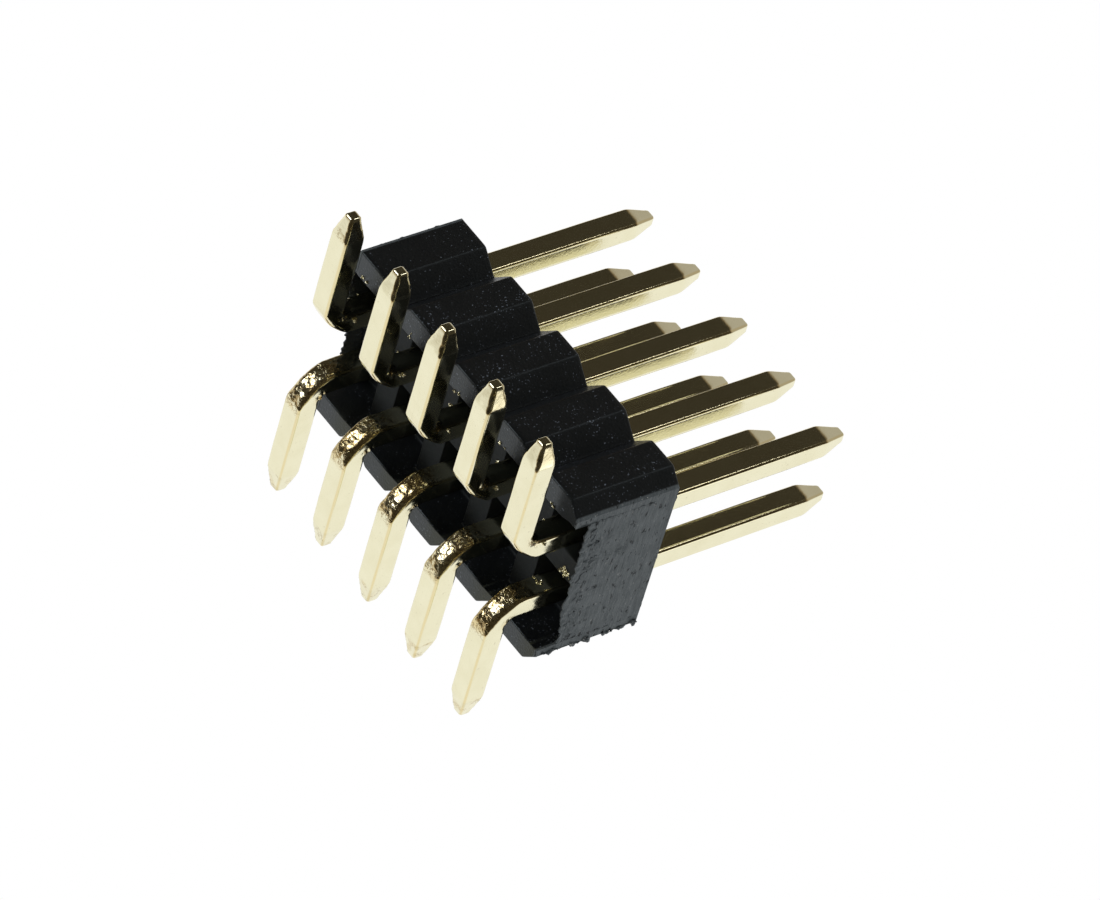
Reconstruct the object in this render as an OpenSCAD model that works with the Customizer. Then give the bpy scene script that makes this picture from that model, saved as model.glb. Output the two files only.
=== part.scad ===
// Double-row pin header strip for surface mounting, standing on its feet.
// The board plane is z = 0, +Z points along the contact pins, and X runs along the rows.
// Odd pins are in the row at -Y and even pins in the row at +Y, counted from -X.

/* [Positions] */
// Number of contact positions in each row
positions = 5; // [1:1:25]
// Distance between neighbouring positions along a row
pitch = 1.27; // [1.1:0.01:2.54]
// Distance between the two rows
row_pitch = 1.27; // [1.1:0.01:1.5]

/* [Pins] */
// Side of the square pin wire
pin_side = 0.38; // [0.3:0.01:0.42]
// Radius of the long edges of the wire
wire_edge_r = 0.05; // [0.01:0.01:0.12]
// Height of the contact tips above the board
contact_z = 6.40; // [4:0.05:12]
// Distance from the centre line of the strip to the ends of the feet
foot_reach = 2.90; // [2.2:0.05:4]
// Inner radius of the bend between contact and foot
bend_r = 0.22; // [0.1:0.01:0.3]
// Length of the pointed stretch at both ends of a pin
taper_l = 0.41; // [0.1:0.01:0.6]
// Side of the small square that ends each point
tip_side = 0.18; // [0.05:0.01:0.28]
// Depth to which the outside of the bend is pressed flat
coin_depth = 0.06; // [0.02:0.01:0.08]
// Radius of the pressed face on the outside of the bend
coin_r = 1.00; // [0.8:0.05:3]

/* [Insulator] */
// Width of the insulator across both rows
body_w = 3.40; // [3.2:0.01:4]
// Height of the insulator's upper face above the board
body_top_z = 2.70; // [2.2:0.05:4]
// Height of the skirts' lower edges above the board
skirt_z = 0.80; // [0.6:0.01:1]
// Thickness of the skirt along each long side
skirt_t = 0.40; // [0.37:0.01:0.45]
// Depth of the channel between the skirts
channel_depth = 0.45; // [0.1:0.01:0.6]
// Width of the notches at their mouths
notch_w = 0.70; // [0.3:0.01:0.9]
// Depth of the notches between neighbouring positions
notch_depth = 0.35; // [0.1:0.01:0.36]
// Length that the saw takes off the first position, at the -X end
start_cut = 0.365; // [0:0.005:0.4]
// Length that the saw takes off the last position, at the +X end
end_cut = 0.095; // [0:0.005:0.4]

/* [Pin pockets] */
// Length of a pocket along the row
pocket_l = 0.80; // [0.5:0.01:0.84]
// Depth of the pockets below the channel floor
pocket_depth = 0.40; // [0.1:0.01:0.5]
// Width of the land that runs between the two rows of pockets
land_w = 0.49; // [0.3:0.01:0.6]
// Gap between a pin and its hole on each side
hole_gap = 0; // [0:0.005:0.03]

/* [Hidden] */
$fn = 48;
// Length by which a cutting shape reaches past what it cuts
past = 1;
black_plastic = [0.09, 0.095, 0.10];
gold_plating = [0.86, 0.76, 0.46];
// Insulator
body_l = positions * pitch - start_cut - end_cut;
body_h = body_top_z - skirt_z;
channel_w = body_w - 2 * skirt_t;
channel_z = skirt_z + channel_depth;
pocket_w = (channel_w - land_w) / 2;
hole_side = pin_side + 2 * hole_gap;
// Pins
taper_angle = atan((pin_side - tip_side) / (2 * taper_l));
bend_centre = pin_side / 2 + bend_r;
bend_z = pin_side + bend_r;
coin_shift = (coin_r - (bend_z - coin_depth)) / sqrt(2);
foot_l = foot_reach - row_pitch / 2 - bend_centre;

// Place of a position or a notch along the rows, counted from 0 at the -X end. The insulator is centred on
// the origin, so the pins stand nearer to the end that loses more to the saw
function along(k) = (k - (positions - 1) / 2) * pitch + (end_cut - start_cut) / 2;

// One long side of the insulator's outline, notched between positions, at +Y for s = 1
function long_side(s) = [
    for (k = [0 : positions]) let (x = along(k - 0.5), y = body_w / 2)
        for (p = [[x - notch_w / 2, y], [x, y - notch_depth], [x + notch_w / 2, y]])
            [p[0], s * p[1]]
];

function reversed(list) = [for (k = [len(list) - 1 : -1 : 0]) list[k]];

// Plan of the strip before the saw trims its ends
module notched_plan() {
    polygon(concat(long_side(-1), reversed(long_side(1))));
}

// Plan of the strip, cut off from its neighbours by the saw
module sawn_plan() {
    intersection() {
        notched_plan();
        square([body_l, body_w + past], center = true);
    }
}

// Block that leaves a deeper recess round one pin in the channel floor
module pocket() {
    translate([-pocket_l / 2, land_w / 2, channel_z - past])
        cube([pocket_l, pocket_w, past + pocket_depth]);
}

// Straight square hole for one pin
module pin_hole() {
    translate([-hole_side / 2, (row_pitch - hole_side) / 2, 0])
        cube([hole_side, hole_side, body_top_z + past]);
}

// Moulded insulator: a plate on two skirts, with a channel and pin pockets below
module insulator() {
    color(black_plastic)
    difference() {
        translate([0, 0, skirt_z]) linear_extrude(body_h) sawn_plan();
        translate([-body_l / 2 - past, -channel_w / 2, skirt_z - past])
            cube([body_l + 2 * past, channel_w, past + channel_depth]);
        for (k = [0 : positions - 1], s = [0, 1])
            translate([along(k), 0, 0]) mirror([0, s, 0]) {
                pocket();
                pin_hole();
            }
    }
}

// Section of the drawn wire: a square with rounded corners
module wire_section() {
    flat = pin_side - 2 * wire_edge_r;
    square([flat, pin_side], center = true);
    square([pin_side, flat], center = true);
    for (x = [-1, 1], y = [-1, 1])
        translate([x * flat / 2, y * flat / 2]) circle(wire_edge_r);
}

// Side view of a wedge that narrows to the tip at height l
module point_wedge(l) {
    low = tip_side / 2 + (l + past) * tan(taper_angle);
    polygon([[-low, -past], [low, -past], [tip_side / 2, l], [-tip_side / 2, l]]);
}

// Straight wire of length l along +Z, pointed on all four sides at its far end
module pointed_wire(l) {
    intersection() {
        linear_extrude(l) wire_section();
        intersection_for(turn = [0, 90])
            rotate([90, 0, turn]) linear_extrude(2 * past, center = true) point_wedge(l);
    }
}

// Quarter turn of the wire, from straight up to straight out towards +Y
module quarter_bend() {
    translate([0, bend_centre, bend_z]) rotate([-90, 0, -90])
        rotate_extrude(angle = 90) translate([bend_centre, 0]) wire_section();
}

// Corner region that the bending tool presses away outside the bend
module coin_cutter() {
    centre = bend_z + coin_shift;
    translate([0, -pin_side / 2, 0]) rotate([90, 0, 90]) linear_extrude(2 * past, center = true)
        difference() {
            translate([-past, -past]) square(centre + past);
            translate([centre, centre]) circle(coin_r);
        }
}

// One pin with its foot towards +Y, the wire's centre line at x = y = 0
module formed_pin() {
    difference() {
        union() {
            translate([0, 0, bend_z]) pointed_wire(contact_z - bend_z);
            quarter_bend();
            translate([0, bend_centre, pin_side / 2]) rotate([-90, 0, 0]) pointed_wire(foot_l);
        }
        coin_cutter();
    }
}

// Pin k, counted from 1: odd numbers have their foot towards -Y
module pin(k) {
    color(gold_plating)
    translate([along(floor((k - 1) / 2)), 0, 0]) mirror([0, k % 2, 0])
        translate([0, row_pitch / 2, 0]) formed_pin();
}

insulator();
for (k = [1 : 2 * positions])
    pin(k);
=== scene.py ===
"""Dresses the pin header strip: ten gold-plated pins in a black insulator that was sawn off at both ends."""
import math

import bmesh
import bpy
import numpy as np
from mathutils import Matrix, Quaternion, Vector


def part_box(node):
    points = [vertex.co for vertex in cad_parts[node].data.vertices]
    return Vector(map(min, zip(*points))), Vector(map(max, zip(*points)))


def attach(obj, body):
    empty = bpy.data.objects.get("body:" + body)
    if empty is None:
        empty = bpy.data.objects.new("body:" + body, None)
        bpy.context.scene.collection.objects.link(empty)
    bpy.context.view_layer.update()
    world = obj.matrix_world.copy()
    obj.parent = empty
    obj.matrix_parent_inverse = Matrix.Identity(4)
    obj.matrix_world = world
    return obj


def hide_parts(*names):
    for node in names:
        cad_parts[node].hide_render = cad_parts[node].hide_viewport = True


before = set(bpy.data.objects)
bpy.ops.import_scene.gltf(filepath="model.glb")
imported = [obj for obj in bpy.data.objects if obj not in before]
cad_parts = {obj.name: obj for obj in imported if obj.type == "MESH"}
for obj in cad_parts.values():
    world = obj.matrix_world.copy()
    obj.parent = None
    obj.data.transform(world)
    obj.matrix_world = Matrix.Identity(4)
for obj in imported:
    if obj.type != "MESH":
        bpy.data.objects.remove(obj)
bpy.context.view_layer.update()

MM = 0.001

# The photograph's camera: its place in millimetres, its turn as an axis as long as the angle, and its lens
CAMERA_AT = (60.250, -81.458, -61.817)
CAMERA_TURN = (0.60275922, 0.82166172, 0.55672197)
FRAME_W = 1100
FOCAL_PX = 7950.1
SENSOR_W = 36.0

# The insulator in millimetres: a plate on two skirts, with a channel between them and pockets for the pins
BODY_LOW, BODY_HIGH = (np.array(corner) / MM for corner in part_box("insulator"))
BODY_X, BODY_Y = BODY_HIGH[:2]
SKIRT_Z, TOP_Z = BODY_LOW[2], BODY_HIGH[2]
PITCH = 1.27
MIDDLE_X = sum(corner[0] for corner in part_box("pin_5")) / (2 * MM)
PINS_X = MIDDLE_X + PITCH * (np.arange(5) - 2)
SKIRT_T = 0.40
CHANNEL_Y = BODY_Y - SKIRT_T
CHANNEL_DEPTH = 0.45
FLOOR_Z = SKIRT_Z + CHANNEL_DEPTH
POCKET_HALF = 0.40
POCKET_DEPTH = 0.40
POCKET_Y = 0.245
EDGE_R = 0.03

# The notches. The first stands further towards +X than its place by the shift, the last not at all
NOTCH_HALF = 0.35
NOTCH_DEPTH = 0.35
NOTCH_SHIFT = 0.09
NOTCHES = MIDDLE_X + PITCH * (np.arange(1, 6) - 2.5) + np.linspace(NOTCH_SHIFT, 0, 5)
CORNER_R = 0.02

# How much further in the front skirt's inner edge stands
LIP = 0.07

# The pins in millimetres. A leg's face away from its foot is at LEG_Y, BEND_C from the bend's centre
PIN_NODES = [f"pin_{k}" for k in range(1, 11)]
PIN_LOW, PIN_HIGH = (np.array(corner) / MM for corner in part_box("pin_1"))
PIN_HALF = (PIN_HIGH[0] - PIN_LOW[0]) / 2
CONTACT_Z = PIN_HIGH[2]
FOOT_L = PIN_HIGH[1] - PIN_LOW[1]
LEG_Y = -PIN_HIGH[1]
WIRE_R = 0.05
BEND_R = 0.22
BEND_C = 2 * PIN_HALF + BEND_R
TAPER_L = 0.41
TIP_HALF = 0.09

# Radius of the pressed face outside a bend, and how deep it was pressed
FRONT_PRESS = (1.00, 0.06)
BACK_PRESS = (0.75, 0.03)

# Points closer than this are welded, in millimetres, and edges sharper than this angle stay sharp
WELD = 2e-4
SHARP = math.radians(38)


def waves(points, size, seed):
    """Smooth lumps of about one size and a spread of 1: a sum of cosine waves with seeded ways and phases."""
    count = 14
    rng = np.random.default_rng(seed)
    ways = rng.normal(size=(count, 3))
    ways *= (2 * math.pi / size) / np.linalg.norm(ways, axis=1, keepdims=True)
    ways *= rng.uniform(0.7, 1.4, (count, 1))
    phases = rng.uniform(0, 2 * math.pi, count)
    return np.cos(points @ ways.T + phases).sum(-1) * math.sqrt(2 / count)


def smooth(low, high, value):
    """Goes from 0 at low to 1 at high along a cubic, also where low is the larger of the two."""
    t = np.clip((value - low) / (high - low), 0, 1)
    return t * t * (3 - 2 * t)


def quads(rows, columns, wrapped=False):
    """Corner numbers of the quads on a grid of points, closed across its columns if it is wrapped."""
    r, c = np.meshgrid(np.arange(rows - 1), np.arange(columns - (not wrapped)), indexing="ij")
    right = (c + 1) % columns
    corners = [r * columns + c, r * columns + right, (r + 1) * columns + right, (r + 1) * columns + c]
    return np.stack(corners, -1).reshape(-1, 4)


def on_every_point(patches):
    """An attribute that is 1 on every point of some patches."""
    return np.ones(sum(grid[..., 0].size for grid, _ in patches))


def piece(name, patches, material, slot, **attributes):
    """One closed mesh from patches, welded where they meet. A patch is a grid of points and its quads.

    The points are in millimetres. The attributes hold one number for each point, which the materials read.
    """
    points, faces, first = [], [], 0
    for grid, corners in patches:
        points.append(grid.reshape(-1, 3))
        faces.append(corners + first)
        first += len(points[-1])
    mesh = bpy.data.meshes.new(name)
    mesh.from_pydata((np.concatenate(points) * MM).tolist(), [], np.concatenate(faces).tolist())
    for key, values in attributes.items():
        data = mesh.attributes.new(key, "FLOAT", "POINT").data
        data.foreach_set("value", values.astype(np.float32).ravel())
    shell = bmesh.new()
    shell.from_mesh(mesh)
    bmesh.ops.remove_doubles(shell, verts=shell.verts, dist=WELD * MM)
    bmesh.ops.dissolve_degenerate(shell, dist=WELD / 2 * MM, edges=shell.edges)
    bmesh.ops.recalc_face_normals(shell, faces=shell.faces)
    shell.to_mesh(mesh)
    shell.free()
    mesh.shade_smooth()
    mesh.set_sharp_from_angle(angle=SHARP)
    mesh.materials.append(material)
    made = bpy.data.objects.new(name, mesh)
    bpy.context.scene.collection.objects.link(made)
    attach(made, "root")
    return made


# Node trees
class Signal:
    """An output socket of a node tree, on which Python's operators add Math nodes."""

    def __init__(self, tree, socket):
        self.tree = tree
        self.socket = socket

    def _math(self, operation, first, second):
        return self.tree.add("ShaderNodeMath", {"operation": operation}, {0: first, 1: second})

    def __add__(self, other):
        return self._math("ADD", self, other)

    def __sub__(self, other):
        return self._math("SUBTRACT", self, other)

    def __rsub__(self, other):
        return self._math("SUBTRACT", other, self)

    def __mul__(self, other):
        return self._math("MULTIPLY", self, other)

    __radd__ = __add__

    def most(self, other):
        """The larger of two values."""
        return self._math("MAXIMUM", self, other)

    def size(self):
        """The value without its sign."""
        return self.tree.add("ShaderNodeMath", {"operation": "ABSOLUTE"}, {0: self})


class Tree:
    """The node tree of a material or of the world, emptied, to which nodes are added."""

    def __init__(self, owner):
        owner.use_nodes = True
        self.nodes = owner.node_tree.nodes
        self.links = owner.node_tree.links
        self.nodes.clear()

    def add(self, kind, settings=None, values=None, output=0):
        """A node of a kind: its settings are set first, then the values or links of its sockets."""
        node = self.nodes.new(kind)
        for key, value in (settings or {}).items():
            setattr(node, key, value)
        for key, value in (values or {}).items():
            if isinstance(value, Signal):
                self.links.new(value.socket, node.inputs[key])
            else:
                node.inputs[key].default_value = value
        return Signal(self, node.outputs[output]) if len(node.outputs) else None

    def place(self):
        """Object coordinates, in millimetres."""
        here = self.add("ShaderNodeTexCoord", output="Object")
        return self.add("ShaderNodeVectorMath", {"operation": "SCALE"}, {0: here, "Scale": 1 / MM})

    def stretched(self, vector, factors):
        """A vector with each of its parts multiplied."""
        return self.add("ShaderNodeVectorMath", {"operation": "MULTIPLY"}, {0: vector, 1: factors})

    def part(self, vector, axis):
        """One part of a vector: 0, 1 or 2 for X, Y or Z."""
        return self.add("ShaderNodeSeparateXYZ", values={0: vector}, output=axis)

    def noise(self, vector, size, detail=2.0, roughness=0.5):
        """Noise from 0 to 1 whose lumps are about one size in millimetres."""
        values = {"Vector": vector, "Scale": 1 / size, "Detail": detail, "Roughness": roughness}
        return self.add("ShaderNodeTexNoise", None, values)

    def rise(self, value, low, high):
        """Goes smoothly from 0 at low to 1 at high, also where low is the larger of the two."""
        settings = {"interpolation_type": "SMOOTHSTEP"}
        return self.add("ShaderNodeMapRange", settings, {"Value": value, "From Min": low, "From Max": high})

    def mix(self, factor, first, second):
        """A colour between two others."""
        values = {"Factor": factor, 6: first, 7: second}
        return self.add("ShaderNodeMix", {"data_type": "RGBA"}, values, output=2)

    def bump(self, height, depth, before=None):
        """A bump of a height from 0 to 1 times a depth in millimetres, on top of the one before it."""
        values = {"Height": height, "Distance": depth * MM}
        if before is not None:
            values["Normal"] = before
        return self.add("ShaderNodeBump", None, values)

    def attribute(self, name):
        """An attribute of the mesh, 0 on a mesh that lacks it."""
        return self.add("ShaderNodeAttribute", {"attribute_name": name}, output="Fac")

    def ray(self, kind):
        """1 for rays of one kind and 0 for the others."""
        return self.add("ShaderNodeLightPath", output=f"Is {kind} Ray")

    def surface(self, shader):
        """Makes a shader the material's surface."""
        self.add("ShaderNodeOutputMaterial", None, {"Surface": shader})


def colour(r, g, b):
    """An opaque colour."""
    return (r, g, b, 1.0)


def gold_plating():
    """Bright pale gold: yellower along the rounded edges as a painted reflection, and crinkled where the bend
    stretched it, with painted shade browning it there.

    The crinkles are a noise's bumps, with folds where the noise crosses its middle that are painted dark as
    shade.
    The slits in the feet's points are painted nearly black as shade, the metal beside them has painted shade,
    and scraped slivers are a bit duller.
    """
    material = bpy.data.materials.new("gold_plating")
    tree = Tree(material)
    place = tree.place()
    names = ("edge", "stretch", "slit", "tip_shade", "rough")
    edge, stretch, slit, tip_shade, rough = (tree.attribute(name) for name in names)
    cloud = tree.noise(place, 0.35, 3.0)
    crinkle = tree.noise(place, 0.085, 2.0)
    # Painted reflection: a warmer, darker gold along the wire's rounded edges
    painted_edge_reflection = tree.rise(edge + cloud * 0.5, 0.60, 1.35)
    # Painted shade: browner, darker gold in patches wherever the wire is stretched, for the dark room that
    # the bends mirror
    painted_bend_shade = stretch * tree.rise(cloud, 0.40, 0.62)
    # Folds: dents in the bump, painted dark as the shade in them
    fold_and_shade = tree.rise((crinkle - 0.5).size(), 0.050, 0.0) * stretch
    pits = tree.rise(tree.noise(place, 0.045, 1.0), 0.72, 0.78)
    base = tree.mix(cloud, colour(0.78, 0.735, 0.50), colour(0.88, 0.845, 0.62))
    base = tree.mix(painted_edge_reflection * 0.60, base, colour(0.76, 0.60, 0.27))
    base = tree.mix(painted_bend_shade * 0.55, base, colour(0.62, 0.44, 0.14))
    base = tree.mix(fold_and_shade * 0.85, base, colour(0.22, 0.13, 0.03))
    base = tree.mix(pits * 0.50, base, colour(0.48, 0.42, 0.30))
    # Painted shade on the feet's points, beside the slits
    base = tree.mix(tip_shade * 0.60, base, colour(0.34, 0.27, 0.10))
    # Painted shade: the slits are coloured nearly black for the shade inside them
    base = tree.mix(slit, base, colour(0.035, 0.024, 0.010))
    roughness = 0.09 + tree.noise(place, 0.10, 2.0) * 0.06 + slit * 0.30 + rough * 0.05
    normal = tree.bump(tree.noise(place, 0.05, 2.0), 0.0010)
    normal = tree.bump((crinkle * 1.3 - fold_and_shade * 0.35) * stretch, 0.0052, normal)
    tree.surface(tree.add("ShaderNodeBsdfPrincipled", None, {
        "Base Color": base, "Metallic": 1.0, "Roughness": roughness, "Normal": normal}))
    return material


def black_plastic():
    """Black moulded plastic with dust specks, matt in its recesses, grey and scored across where it was sawn.

    The saw's marks are noises stretched out along Y: scores and darker tears, with painted highlights as
    glints.
    Burrs are partly as grey as a sawn end, and the torn wall at the start stays nearly black.
    """
    material = bpy.data.materials.new("black_plastic")
    tree = Tree(material)
    place = tree.place()
    x, y, z = (tree.part(place, axis) for axis in range(3))
    burr = tree.attribute("burr")
    torn = tree.attribute("torn")
    cloud = tree.noise(place, 0.5, 3.0)
    dust = tree.noise(place, 0.030, 1.0)

    end = tree.rise(x.size(), BODY_X - 0.05, BODY_X - 0.03)
    sawn = end.most(burr * 0.6) * (1 - torn * 0.85)
    scores = tree.noise(tree.stretched(place, (1.0, 0.10, 1.0)), 0.040, 3.0, 0.65)
    tears = tree.rise(tree.noise(tree.stretched(place, (1.0, 0.40, 1.0)), 0.06, 2.0), 0.62, 0.70)
    # Painted highlights: small lighter glints on the sawn faces
    glints = tree.rise(tree.noise(tree.stretched(place, (1.0, 0.50, 1.0)), 0.045, 1.0), 0.70, 0.76)

    between = tree.rise(y.size(), CHANNEL_Y + 0.02, CHANNEL_Y - 0.02)
    recessed = between * tree.rise(z, SKIRT_Z + 0.10, SKIRT_Z + 0.30) * (1 - sawn)
    last = tree.rise(x, BODY_X - 0.60, BODY_X - 0.35)
    under_skirt = tree.rise(y, 0.15 - CHANNEL_Y, 0.05 - CHANNEL_Y)
    under_skirt = under_skirt * tree.rise(z, SKIRT_Z + 0.05, SKIRT_Z + 0.02)
    matt = recessed.most(last * under_skirt * (1 - sawn))

    # Painted shade: no dust specks in the recesses, so they stay dark
    specks = tree.rise(dust + cloud * 0.30, 0.855, 0.895) * (1 - recessed)
    moulded = tree.mix(cloud, colour(0.0030, 0.0035, 0.0045), colour(0.0070, 0.0078, 0.0090))
    moulded = tree.mix(specks * 0.60, moulded, colour(0.20, 0.23, 0.28))
    cut = tree.mix(scores, colour(0.032, 0.037, 0.041), colour(0.115, 0.130, 0.135))
    cut = tree.mix(tears * 0.80, cut, colour(0.008, 0.008, 0.009))
    cut = tree.mix(glints * 0.50, cut, colour(0.22, 0.22, 0.22))
    base = tree.mix(sawn, moulded, cut)
    base = tree.mix(burr * tree.rise(dust, 0.62, 0.70), base, colour(0.40, 0.40, 0.38))
    roughness = 0.30 + sawn * 0.24 + matt * 0.30 + tree.noise(place, 0.08, 2.0) * 0.10
    grain = tree.bump(tree.noise(place, 0.035, 3.0), 0.0045)
    normal = tree.bump((scores * 0.6 - tears * 0.5) * sawn, 0.026, grain)
    tree.surface(tree.add("ShaderNodeBsdfPrincipled", None, {
        "Base Color": base, "Roughness": roughness, "IOR": 1.5, "Specular Tint": colour(0.80, 0.93, 1.0),
        "Normal": normal}))
    return material


GOLD = gold_plating()
PLASTIC = black_plastic()


# Pins
def section():
    """A square with rounded edges, as corner places C and outward ways D of its points, round it once.

    For half a side h and an edge radius r, a point is (h - r) C + r D.
    """
    flat_points, arc_points = 9, 5
    arcs = np.linspace(0, math.pi / 2, arc_points)
    flats = np.linspace(-1, 1, flat_points + 2)[1:-1]
    flat_places = np.stack([np.ones(flat_points), flats], -1)
    flat_ways = np.array([[1.0, 0.0]] * flat_points)
    arc_ways = np.stack([np.cos(arcs), np.sin(arcs)], -1)
    places, ways = [], []
    for quarter in range(4):
        c, s = round(math.cos(quarter * math.pi / 2)), round(math.sin(quarter * math.pi / 2))
        turn = np.array([[c, s], [-s, c]])
        places += [flat_places @ turn, np.ones((arc_points, 2)) @ turn]
        ways += [flat_ways @ turn, arc_ways @ turn]
    return np.concatenate(places), np.concatenate(ways)


def tip_rings():
    """Distances from a tip and half sides of the wire there: closed end, rounded rim, taper, shoulder.

    The shoulder is a smooth minimum of the taper and the full wire.
    """
    rim, soft = 0.035, 0.012
    turns = np.linspace(0, math.pi / 2, 5)
    rim_at = rim * (1 - np.sin(turns))[::-1]
    rim_half = TIP_HALF - rim * (1 - np.cos(turns))[::-1]
    shoulder_at = TAPER_L + np.array([-0.02, 0, 0.02, 0.05])
    at = np.concatenate([[0, 0, 0], rim_at[:-1], np.linspace(rim, TAPER_L - 0.04, 10), shoulder_at])
    slope = (PIN_HALF - TIP_HALF) / TAPER_L
    taper = TIP_HALF + slope * at
    half = (taper + PIN_HALF - np.sqrt((taper - PIN_HALF) ** 2 + soft ** 2)) / 2
    half[:3] = (TIP_HALF - rim) * np.array([0, 0.45, 0.8])
    half[3:3 + len(rim_half) - 1] = rim_half[:-1] + slope * rim_at[:-1]
    return at, half


def bend_profile(press_r, press_depth):
    """Outer and inner points of the wire round the bend, measured from where its outer faces would meet.

    Along a ray from the bend's centre, the outer side is the nearer of the straight face and a larger round
    centred on the diagonal, blended by a smooth minimum. The inner side is a quarter round.
    """
    angle = np.linspace(0, math.pi / 2, 60)
    ray = -np.stack([np.cos(angle), np.sin(angle)], -1)
    faces = BEND_C / np.maximum(np.cos(angle), np.sin(angle))
    away = (press_r - (BEND_C - press_depth)) / math.sqrt(2)
    along = -away * (np.cos(angle) + np.sin(angle))
    rounded = along + np.sqrt(np.maximum(along ** 2 - 2 * away ** 2 + press_r ** 2, 0))
    soft = 0.06 * np.sin(2 * angle)
    outer = (faces + rounded - np.sqrt((faces - rounded) ** 2 + soft ** 2)) / 2
    return BEND_C + ray * outer[:, None], BEND_C + ray * BEND_R


def pin_rings(press):
    """Outer and inner sides of the wire at each ring, and half its width there.

    The rings run along the contact point, the leg, the bend, the foot and its point. A side is a place in the
    plane of the bend: how far it lies towards the foot, and how high.
    """
    at, half = tip_rings()
    straight_z = [5.2, 4.4, 3.6, 2.75, 2.6, 1.8, 1.4]
    straight_u = [1.2, 1.6]
    leg_z = np.concatenate([CONTACT_Z - at, straight_z, np.linspace(1.2, BEND_C + 0.02, 24)])
    leg = np.stack([np.zeros_like(leg_z), leg_z], -1)
    near_u = np.linspace(BEND_C + 0.02, BEND_C + 0.3, 10)
    foot_u = np.concatenate([near_u, straight_u, (FOOT_L - at)[::-1]])
    foot = np.stack([foot_u, np.zeros_like(foot_u)], -1)
    thick = np.array([2 * PIN_HALF, 0])
    bend_out, bend_in = bend_profile(*press)
    outer = np.concatenate([leg, bend_out, foot])
    inner = np.concatenate([leg + thick, bend_in, foot + thick[::-1]])
    plain = np.full(len(outer) - 2 * len(half), PIN_HALF)
    return outer, inner, np.concatenate([half, plain, half[::-1]])


def bend_shares(middle):
    """How far each ring has turned, from 0 on the leg to 1 on the foot, and how much the bend strained it."""
    corner = BEND_C - middle
    turned = np.arctan2(corner[:, 1], np.maximum(corner[:, 0], 1e-9)) / (math.pi / 2)
    turned = np.where(middle[:, 1] > BEND_C, 0.0, np.where(middle[:, 0] > BEND_C, 1.0, turned))
    strain = smooth(1.05, BEND_C, middle[:, 1]) * smooth(BEND_C + 0.12, BEND_C - 0.02, middle[:, 0])
    return turned, strain


def pin_piece(node, press, wrinkle, slit_share, seed):
    """One pin: its section carried along its rings, with lumps added along the outward ways.

    Each ring spans from the wire's outer to its inner side. The section's two parts run across the wire and
    between those sides. The lumps are a fine crinkle outside the bend, a rougher one where its flanks were
    pinched, and a slit along one edge of the foot's point.
    """
    low, high = (np.array(corner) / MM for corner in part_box(node))
    toward = 1.0 if high[1] > -low[1] else -1.0
    outer, inner, halves = pin_rings(press)
    middle, reach = (outer + inner) / 2, (inner - outer) / 2
    inward = reach / np.linalg.norm(reach, axis=1, keepdims=True)
    turned, strain = bend_shares(middle)

    places, ways = section()
    eased = 0.05 * strain * smooth(0.0, 0.4, turned) * smooth(1.0, 0.7, turned)
    radius = np.minimum(np.minimum(WIRE_R, 0.42 * halves) + eased, halves)[:, None]
    across = (halves[:, None] - radius) * places[:, 0] + radius * ways[:, 0]
    between = ((halves[:, None] - radius) * places[:, 1] + radius * ways[:, 1]) / PIN_HALF
    flat = middle[:, None, :] + between[:, :, None] * reach[:, None, :]
    points = np.stack([across, flat[:, :, 0], flat[:, :, 1]], -1)
    out_across = np.broadcast_to(ways[:, 0], across.shape)
    out = np.stack([out_across, ways[:, 1] * inward[:, :1], ways[:, 1] * inward[:, 1:]], -1)

    outside = np.clip(-ways[:, 1], 0, 1) * strain[:, None]
    pinched = (np.exp(-((turned - 0.5) / 0.22) ** 2) * strain)[:, None]
    pinch = np.abs(ways[:, 0]) * pinched * smooth(-0.1, 0.5, between) * smooth(1.25, 0.8, between)
    foot_tip = smooth(FOOT_L - TAPER_L - 0.03, FOOT_L - TAPER_L + 0.02, middle[:, 0])[:, None]
    off_edge = (ways[:, 0] - 0.707) ** 2 + (ways[:, 1] + 0.707) ** 2
    ragged = smooth(-0.9, 0.3, waves(points, 0.14, seed + 4))
    slit = slit_share * ragged * np.exp(-off_edge / (0.04 + 0.12 * ragged)) * foot_tip
    # Painted shade: a darker band along one edge of each foot's point, strongest beside the slits
    tip_shade = (0.3 + 0.7 * slit_share) * np.exp(-off_edge / 0.5) * foot_tip
    tip_shade = tip_shade * smooth(-1.2, 0.8, waves(points, 0.2, seed + 5))
    edges = 2 * np.abs(ways[:, 0] * ways[:, 1]) * np.ones_like(across)

    lumps = wrinkle * outside * (0.0030 * waves(points, 0.16, seed) + 0.0009 * waves(points, 0.08, seed + 1))
    lumps += pinch * (0.006 * waves(points, 0.09, seed + 2) + 0.003)
    lumps += 0.0012 * waves(points, 0.9, seed + 3)
    lumps += 0.0035 * waves(points, 0.11, seed + 6) * foot_tip * edges
    lumps -= 0.012 * slit
    lumps *= smooth(0.0, 0.5 * TIP_HALF, halves)[:, None]
    points = points + out * lumps[:, :, None]
    points[:, :, 0] += (low[0] + high[0]) / 2
    points[:, :, 1] = toward * (points[:, :, 1] + LEG_Y)

    worn_tip = 0.6 * (1 - slit_share) * foot_tip * smooth(-0.2, 0.9, waves(points, 0.25, seed + 7))
    stretch = np.maximum(np.maximum(outside * wrinkle, 1.6 * pinch), worn_tip)
    patch = (points, quads(len(halves), len(places), wrapped=True))
    wear_and_shade = {"edge": edges, "stretch": stretch, "slit": slit, "tip_shade": tip_shade}
    made = piece(node + "_plated", [patch], GOLD, "pins", **wear_and_shade)
    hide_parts(node)


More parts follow.
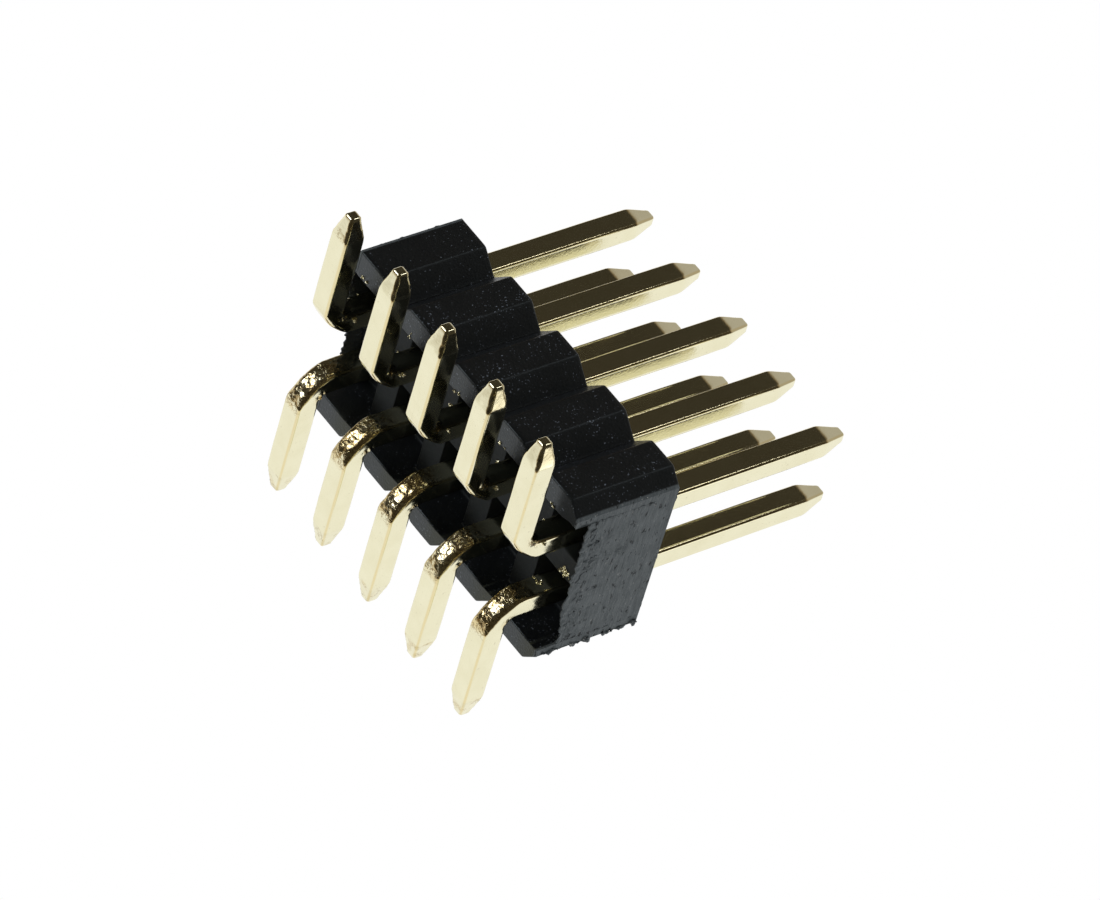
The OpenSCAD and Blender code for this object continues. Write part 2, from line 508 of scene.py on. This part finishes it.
def build_pins():
    """Ten pins: the back row crinkled outside its bends, and four points of the front row's feet slit."""
    for number, node in enumerate(PIN_NODES):
        front = number % 2 == 0
        press, wrinkle = (FRONT_PRESS, 0.1) if front else (BACK_PRESS, 1.0)
        pin_piece(node, press, wrinkle, slit_share=float(front and number > 0), seed=20 + 7 * number)


# Insulator
def sunk(inside, depth):
    """How deep a floor lies at a distance inside a wall: a quarter round, a drop and a quarter round."""
    mouth = EDGE_R - np.sqrt(np.maximum(EDGE_R ** 2 - np.clip(inside + EDGE_R, 0, EDGE_R) ** 2, 0))
    root = depth - EDGE_R + np.sqrt(EDGE_R ** 2 - (EDGE_R - np.clip(inside, 0, EDGE_R)) ** 2)
    return np.where(inside > 0, root, mouth)


def half_width(x):
    """Half width of the notched outline: full width less a V at each notch, with its corners eased."""
    off = np.sqrt((x[..., None] - NOTCHES) ** 2 + (0.4 * CORNER_R) ** 2)
    cut = NOTCH_DEPTH * (1 - off / NOTCH_HALF)
    cut = (cut + np.sqrt(cut ** 2 + CORNER_R ** 2)) / 2
    return BODY_Y - np.minimum(cut.max(-1), NOTCH_DEPTH)


def wall_lines(at, inward):
    """Grid lines on both sides of a rounded wall, closest together where it turns."""
    steps = EDGE_R * np.array([1.5, 1.0, 0.92, 0.7, 0.38])
    return at + inward * np.concatenate([-steps, [0.0, 0.002], steps[::-1]])


def filled(lines, widest):
    """The same grid lines, with even ones added wherever two lie further apart than the widest gap."""
    lines = np.unique(np.round(lines, 5))
    gaps = [np.linspace(a, b, int(math.ceil((b - a) / widest)) + 1)[:-1] for a, b in zip(lines, lines[1:])]
    return np.concatenate(gaps + [lines[-1:]])


def plan_lines():
    """Grid lines of the insulator's plan: along every wall, hole, notch and end, with even ones between."""
    walls = np.concatenate([wall_lines(p + s * POCKET_HALF, -s) for p in PINS_X for s in (-1, 1)])
    holes = np.concatenate([PINS_X - PIN_HALF, PINS_X + PIN_HALF])
    turns = CORNER_R * np.array([-3.0, -1.6, -0.8, -0.3, 0.3, 0.8, 1.6, 3.0])
    notches = np.concatenate([n + s * NOTCH_HALF + turns for n in NOTCHES for s in (-1, 0, 1)])
    end = BODY_X - np.array([0.12, 0.08, 0.05, 0.025, 0.0])
    x = np.concatenate([walls, holes, notches, -end, end])
    rims = BODY_Y - EDGE_R * np.array([1.5, 1.0, 0.62, 0.3, 0.08, 0.0])
    hole = [LEG_Y, LEG_Y + 2 * PIN_HALF]
    y = np.concatenate([hole, wall_lines(POCKET_Y, 1), wall_lines(CHANNEL_Y, -1), rims])
    return filled(x[np.abs(x) <= BODY_X], 0.10), filled(np.concatenate([-y, y]), 0.055)


def insulator_faces(x, y):
    """Points of the insulator's underside and upper face, both heights over one plan grid.

    The grid's outer lines close in with the notches. The underside has sunk by the channel and, round each
    pin, by a pocket as well: the product of three drops, along X, at the land and at the skirt. It is torn at
    both ends, and the front skirt's inner edge is shifted inwards.
    """
    grid_x, grid_y = np.meshgrid(x, y, indexing="ij")
    off = np.abs(grid_y)
    channel = CHANNEL_Y - off
    skirt = (half_width(grid_x) - CHANNEL_Y) / SKIRT_T
    true_y = np.sign(grid_y) * np.where(channel < 0, CHANNEL_Y - channel * skirt, off)
    flat = np.stack([grid_x, true_y, np.zeros_like(true_y)], -1)

    along = POCKET_HALF - np.abs(grid_x[..., None] - PINS_X).min(-1)
    drops = sunk(along, POCKET_DEPTH) * sunk(off - POCKET_Y, POCKET_DEPTH) * sunk(channel, POCKET_DEPTH)
    rim = EDGE_R - np.sqrt(EDGE_R ** 2 - (EDGE_R - np.clip(BODY_Y - off, 0, EDGE_R)) ** 2)
    torn = smooth(BODY_X - 0.12, BODY_X, np.abs(grid_x)) * smooth(-0.05, 0.05, channel)
    ragged = 0.035 * waves(flat, 0.13, 5) + 0.026 * waves(flat, 0.06, 6)
    ragged *= 1 + 1.2 * np.exp(-(grid_y / 0.35) ** 2)
    under = SKIRT_Z + sunk(channel, CHANNEL_DEPTH) + drops / POCKET_DEPTH ** 2 + rim + torn * ragged
    lip = LIP * (grid_y < 0) * smooth(CHANNEL_Y + 0.30, CHANNEL_Y + 0.05, off)
    lip = lip * smooth(CHANNEL_Y - 0.35, CHANNEL_Y - 0.06, off) * smooth(BODY_X - 0.1, BODY_X - 0.4, grid_x)
    low = np.stack([grid_x, true_y + lip, under], -1)
    high = np.stack([grid_x, true_y, TOP_Z - rim], -1)
    return low, high


def wall_between(bottom, top):
    """A wall of points between two lines, straight up, and its quads."""
    share = np.linspace(0, 1, 28)[:, None, None]
    wall = bottom + (top - bottom) * share
    return wall, quads(*wall.shape[:2])


def sawn_end(bottom, top, out):
    """A wall whose inner points are shifted along X, by scores along Y and by dents at its torn edge."""
    wall, corners = wall_between(bottom, top)
    inner = np.ones(wall.shape[:2])
    inner[[0, -1]] = inner[:, [0, -1]] = 0
    torn = np.exp(-((wall[..., 2] - wall[:1, :, 2]) / 0.07) ** 2)
    torn *= smooth(CHANNEL_Y + 0.05, CHANNEL_Y - 0.05, np.abs(wall[..., 1]))
    wall[..., 0] += out * inner * (0.006 * waves(wall * (1, 0.2, 1), 0.09, 8) - 0.010)
    wall[..., 0] += out * inner * torn * (0.022 * waves(wall, 0.075, 9) - 0.015)
    return wall, corners


def hole_walls(low, high, x, y, hole_x):
    """The four walls of one square pin hole, between the borders that it leaves in both faces."""
    columns = np.nonzero(np.abs(x - hole_x) < PIN_HALF + 1e-4)[0]
    rows = np.nonzero(np.abs(y - LEG_Y - PIN_HALF) < PIN_HALF + 1e-4)[0]
    walls = [np.stack([low[c, rows], high[c, rows]]) for c in (columns[0], columns[-1])]
    walls += [np.stack([low[columns, r], high[columns, r]]) for r in (rows[0], rows[-1])]
    return [(wall, quads(*wall.shape[:2])) for wall in walls]


def insulator_piece():
    """The moulding: its underside and upper face, pierced by the pin holes, and the walls between them."""
    x, y = plan_lines()
    low, high = insulator_faces(x, y)
    cells = quads(len(x), len(y))
    centre = high.reshape(-1, 3)[cells].mean(1)
    off_x = np.abs(centre[:, :1] - PINS_X).min(-1)
    off_y = np.abs(np.abs(centre[:, 1]) - LEG_Y - PIN_HALF)
    cells = cells[(off_x > PIN_HALF) | (off_y > PIN_HALF)]
    patches = [(low, cells[:, ::-1]), (high, cells)]
    patches += [wall_between(low[:, side], high[:, side]) for side in (0, -1)]
    patches += [sawn_end(low[end], high[end], out) for end, out in ((0, -1), (-1, 1))]
    for hole_x in PINS_X:
        for sign in (-1, 1):
            patches += hole_walls(low, high, x, sign * y, hole_x)
    made = piece("insulator_moulding", patches, PLASTIC, "insulator")
    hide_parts("insulator")


# What the saw and the press left behind
def burr_strip(start, end, thick, seed):
    """A torn ridge along an edge: a tube whose radius and centre wander with seeded lumps."""
    points, around = 90, 9
    start, end = np.array(start), np.array(end)
    share = np.linspace(0, 1, points)
    line = start + (end - start) * share[:, None]
    line = line + 0.5 * thick * np.stack([waves(line, 0.2, seed + k) for k in range(3)], -1)
    uneven = 0.35 + 0.6 * waves(line, 0.10, seed + 5) + 0.4 * waves(line, 0.25, seed + 6)
    radius = thick * np.clip(uneven, 0.12, 1.6) * smooth(0, 0.02, share) * smooth(1, 0.98, share)
    way = (end - start) / np.linalg.norm(end - start)
    first = np.cross(way, [1.0, 0.0, 0.0] if abs(way[0]) < 0.9 else [0.0, 1.0, 0.0])
    first /= np.linalg.norm(first)
    second = np.cross(way, first)
    turn = np.arange(around) * 2 * math.pi / around
    ring = np.cos(turn)[:, None] * first + np.sin(turn)[:, None] * second
    tube = line[:, None, :] + radius[:, None, None] * ring
    rough = 0.25 * thick * waves(tube, 0.05, seed + 9)[..., None]
    return tube + rough * ring * (radius > 0)[:, None, None], quads(points, around, wrapped=True)


def torn_wall(end):
    """A thin torn wall that hangs below the channel floor at one end, with a ragged lower edge.

    It is a folded sheet, thick at its root and thin at its edge. At the -X end it hangs deepest towards -Y,
    leans outwards and also closes the pockets that the saw opened. At the +X end it is short and flush.
    """
    y = np.linspace(-CHANNEL_Y - 0.03, CHANNEL_Y + 0.03, 150)
    line = np.stack([np.zeros_like(y), y, np.zeros_like(y)], -1)
    if end < 0:
        edge_z = SKIRT_Z - 0.01 + 0.12 * smooth(-0.70, -0.62, y) + 0.10 * smooth(-0.62, 0, y)
        edge_z += 0.30 * smooth(0.55, 1.2, y)
        root_z, lean, thickest = FLOOR_Z + POCKET_DEPTH + 0.04, 0.06, 0.026
    else:
        edge_z = SKIRT_Z + 0.29 + 0.09 * smooth(0.6, 1.2, y)
        root_z, lean, thickest = FLOOR_Z + 0.05, 0.005, 0.034
    edge_z += 0.014 * waves(line, 0.18, 201 + end) + 0.007 * waves(line, 0.06, 205 + end)
    share = np.linspace(0, 1, 16)
    thick = thickest * (1 - 0.6 * share)
    down = np.concatenate([share, share[::-1]])
    side = np.concatenate([-thick, thick[::-1]])
    x = np.broadcast_to(end * (BODY_X - 0.035 + lean * smooth(0.35, 1.0, down)) + side, (len(y), len(down)))
    z = root_z + (edge_z[:, None] - root_z) * down
    wall = np.stack([x, np.broadcast_to(y[:, None], x.shape), z], -1)
    wall[..., 0] += 0.006 * waves(wall, 0.12, 209 + end) * down
    middle = wall.mean(1, keepdims=True)
    wall[[0, -1]] = middle[[0, -1]]
    return wall, quads(len(y), len(down), wrapped=True)


def crumb(centre, size, seed):
    """A small crumpled lump: a ball whose radius wanders with seeded waves, flattened a little."""
    rows, columns = 12, 20
    turns = np.arange(columns) * 2 * math.pi / columns
    down, turn = np.meshgrid(np.linspace(0, math.pi, rows), turns, indexing="ij")
    ball = np.stack([np.sin(down) * np.cos(turn), np.sin(down) * np.sin(turn), np.cos(down)], -1)
    radius = size * np.clip(1 + 0.45 * waves(ball, 1.5, seed) + 0.22 * waves(ball, 0.8, seed + 1), 0.3, 2.2)
    return np.array(centre) + ball * radius[..., None] * (1, 0.8, 0.7), quads(rows, columns, wrapped=True)


def build_burrs():
    """What the saw left on both ends: heavy and light ridges along the edges, a crumb and two torn walls."""
    heavy, light = 0.030, 0.010
    corner_y = half_width(np.array([BODY_X]))[0]
    strips = [crumb((BODY_X - 0.03, corner_y, TOP_Z - 0.04), 0.055, 7)]
    for end in (-1, 1):
        x = end * (BODY_X - 0.015)
        y = half_width(np.array([end * BODY_X]))[0]
        strips.append(burr_strip((x, y, SKIRT_Z), (x, y, TOP_Z), heavy, 40 + end))
        strips.append(burr_strip((x, -y, SKIRT_Z), (x, -y, TOP_Z), light, 60 + end))
        strips.append(burr_strip((x, -y, TOP_Z), (x, y, TOP_Z), light, 100 + end))
    piece("saw_burrs", strips, PLASTIC, "insulator", burr=on_every_point(strips))
    start_wall, end_wall = [torn_wall(-1)], [torn_wall(1)]
    piece("torn_wall_start", start_wall, PLASTIC, "insulator", torn=on_every_point(start_wall))
    piece("torn_wall_end", end_wall, PLASTIC, "insulator")


def build_slivers():
    """Slivers of plating that the insulator scraped off the pins, each on a face of a pin or the moulding.

    They lie in nests under the front skirt and on the legs' sides, and at the last position on the land and
    the back leg. A nest is a centre, a spread along each axis and a count.
    """
    rng = np.random.default_rng(3)
    slivers = []
    for number, pin_x in enumerate(PINS_X):
        left, right = pin_x - PIN_HALF, pin_x + PIN_HALF
        nests = [((pin_x - 0.06, -CHANNEL_Y + 0.03, SKIRT_Z), (0.05, 0.02, 0.004), 2),
                 ((right, -LEG_Y - 0.28, 0.62), (0.004, 0.04, 0.03), 3),
                 ((left, -LEG_Y - 0.34, 0.90), (0.004, 0.015, 0.05), 1),
                 ((left, LEG_Y + 0.28, 1.17), (0.004, 0.05, 0.02), 2)]
        if number == len(PINS_X) - 1:
            nests += [((pin_x + 0.20, 0.10, FLOOR_Z), (0.05, 0.06, 0.004), 9),
                      ((pin_x - 0.05, LEG_Y, 1.02), (0.04, 0.004, 0.02), 4)]
        for centre, spread, count in nests:
            for _ in range(count):
                place = centre + rng.normal(size=3) * spread
                slivers.append(crumb(place, rng.uniform(0.014, 0.034), int(rng.integers(1000))))
    piece("plating_slivers", slivers, GOLD, "pins", rough=on_every_point(slivers))


# Camera, lamps, world and floor
def build_camera():
    """The photograph's pinhole camera: its rotation takes the strip's frame to right, down and forward."""
    data = bpy.data.cameras.new("camera")
    data.sensor_width = SENSOR_W
    data.lens = FOCAL_PX * SENSOR_W / FRAME_W
    data.clip_start = 0.01
    data.clip_end = 10.0
    camera = bpy.data.objects.new("camera", data)
    bpy.context.scene.collection.objects.link(camera)
    axis = Vector(CAMERA_TURN)
    turn = Quaternion(axis.normalized(), axis.length).to_matrix().transposed() @ Matrix.Diagonal((1, -1, -1))
    camera.matrix_world = Matrix.Translation(Vector(CAMERA_AT) * MM) @ turn.to_4x4()
    bpy.context.scene.camera = camera


# Ways from the strip to what lights it, the lamps' distance in millimetres, and the world's plain light
FRONT_WAY = (-0.508, -0.521, -0.686)
KEY_WAY = (0.45, 0.35, 0.82)
EDGE_WAY = (0.30, -0.80, 0.52)
WINDOW_WAY = (0.734, 0.402, 0.547)
TABLE_WAY = (-0.253, 0.962, 0.101)
LAMP_AWAY = 100.0
AMBIENT = 0.6


def soft_lamp(name, way, width, radiance, in_gloss):
    """A round lamp that faces the strip. Its power follows from its radiance, which a mirror would show."""
    data = bpy.data.lights.new(name, "AREA")
    data.shape = "DISK"
    data.size = width * MM
    data.energy = radiance * math.pi ** 2 * (width * MM / 2) ** 2
    lamp = bpy.data.objects.new(name, data)
    bpy.context.scene.collection.objects.link(lamp)
    way = Vector(way).normalized()
    lamp.location = way * LAMP_AWAY * MM
    lamp.rotation_euler = way.to_track_quat("Z", "Y").to_euler()
    lamp.visible_camera = False
    lamp.visible_glossy = in_gloss


def build_lamps():
    """A front lamp that the bends mirror, a key lamp that gloss doesn't show, and two lamps for glints."""
    soft_lamp("front_lamp", FRONT_WAY, width=54.0, radiance=4.0, in_gloss=True)
    soft_lamp("key_lamp", KEY_WAY, width=60.0, radiance=4.0, in_gloss=False)
    soft_lamp("edge_lamp", EDGE_WAY, width=16.0, radiance=4.5, in_gloss=True)
    soft_lamp("window_lamp", WINDOW_WAY, width=21.0, radiance=1.1, in_gloss=True)


def build_world():
    """White where the camera looks. Gloss shows a white table on one side, a half lit top and a dark room."""
    world = bpy.data.worlds.new("studio")
    bpy.context.scene.world = world
    tree = Tree(world)
    way = tree.add("ShaderNodeTexCoord", output="Generated")
    pair = {0: way, 1: TABLE_WAY}
    table = tree.add("ShaderNodeVectorMath", {"operation": "DOT_PRODUCT"}, pair, output="Value")
    top = tree.rise(tree.part(way, 2), 0.62, 0.80)
    lit = tree.rise(table, 0.12, 0.46).most(top * 0.45) * 0.96 + 0.04
    seen = tree.ray("Camera").most(tree.ray("Transmission"))
    glossy = tree.ray("Glossy")
    strength = seen.most(glossy * lit) + (1 - seen.most(glossy)) * AMBIENT
    pale = tree.rise(strength, 0.12, 0.95).most(1 - glossy).most(top * 0.80)
    warm = tree.mix(tree.rise(strength, 0.04, 0.14), colour(1, 0.84, 0.56), colour(1, 0.68, 0.28))
    tint = tree.mix(pale, warm, colour(1, 1, 1))
    background = tree.add("ShaderNodeBackground", None, {"Color": tint, "Strength": strength})
    tree.add("ShaderNodeOutputWorld", None, {"Surface": background})


def build_floor():
    """A pale floor just below the board plane, seen from above only, that fades into the white round it."""
    material = bpy.data.materials.new("pale_floor")
    tree = Tree(material)
    place = tree.place()
    away = tree.add("ShaderNodeVectorMath", {"operation": "LENGTH"}, {0: place}, output="Value")
    back = tree.add("ShaderNodeNewGeometry", output="Backfacing")
    gone = tree.rise(away, 20.0, 90.0).most(back)
    matt = tree.add("ShaderNodeBsdfPrincipled", None, {
        "Base Color": tree.mix(tree.noise(place, 6.0), colour(0.86, 0.86, 0.86), colour(0.90, 0.90, 0.89)),
        "Roughness": 0.9})
    clear = tree.add("ShaderNodeBsdfTransparent", None, {"Color": colour(1, 1, 1)})
    tree.surface(tree.add("ShaderNodeMixShader", None, {0: gone, 1: matt, 2: clear}))
    mesh = bpy.data.meshes.new("floor")
    reach, drop = 100 * MM, -0.02 * MM
    corners = [(-reach, -reach, drop), (reach, -reach, drop), (reach, reach, drop), (-reach, reach, drop)]
    mesh.from_pydata(corners, [], [(0, 1, 2, 3)])
    mesh.materials.append(material)
    floor = bpy.data.objects.new("floor", mesh)
    bpy.context.scene.collection.objects.link(floor)
    for rays in ("diffuse", "glossy", "transmission", "volume_scatter", "shadow"):
        setattr(floor, "visible_" + rays, False)


build_pins()
insulator_piece()
build_burrs()
build_slivers()
build_camera()
build_lamps()
build_world()
build_floor()
bpy.context.scene.view_settings.view_transform = "Standard"
